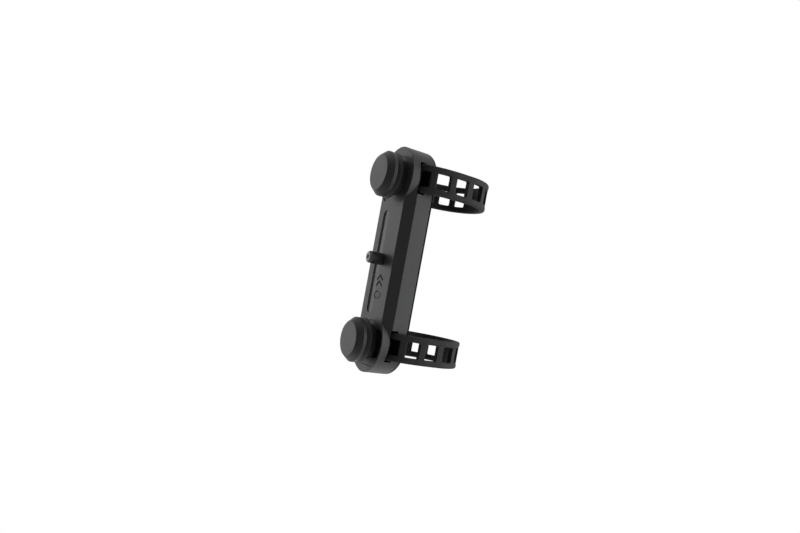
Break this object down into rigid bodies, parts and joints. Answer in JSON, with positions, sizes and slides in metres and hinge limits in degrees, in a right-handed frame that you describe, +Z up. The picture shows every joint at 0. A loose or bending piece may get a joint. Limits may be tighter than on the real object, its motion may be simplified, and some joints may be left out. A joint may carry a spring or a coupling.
{
  "type": "bottle mount base",
  "caption": "Moulded bar with a round magnetic knob at each end and a short pin between them, held on a frame tube by elastic ladder straps, for a bottle that clips on without a cage",
  "frame": {"origin": "on the axis of the frame tube, midway between the two knobs", "axes": "+Z runs up along the tube, +Y points from the base back to the tube so the knobs face -Y, and +X points right as seen from the front"},
  "size_m": [0.046, 0.0675, 0.1236],
  "materials": {
    "housing": "fine-grained satin",
    "plate": "satin",
    "knob": "satin",
    "collar": "satin",
    "pin": "satin",
    "saddle": "matte",
    "strap": "matte",
    "magnet": "nickel plated",
    "steel": "brushed"
  },
  "bodies": {
    "root": {"base_housing": "housing", "rear_plate": "plate", "rear_plate_screws": "steel", "rubber_saddle": "saddle", "centre_pin": "pin", "upper_knob_cap": "knob", "upper_knob_magnet": "magnet", "upper_knob_yoke": "steel", "upper_knob_collar": "collar", "upper_knob_washer": "steel", "upper_knob_screw": "steel", "upper_strap_catch": "plate", "upper_strap": "strap", "lower_knob_cap": "knob", "lower_knob_magnet": "magnet", "lower_knob_yoke": "steel", "lower_knob_collar": "collar", "lower_knob_washer": "steel", "lower_knob_screw": "steel", "lower_strap_catch": "plate", "lower_strap": "strap"}
  },
  "joints": []
}
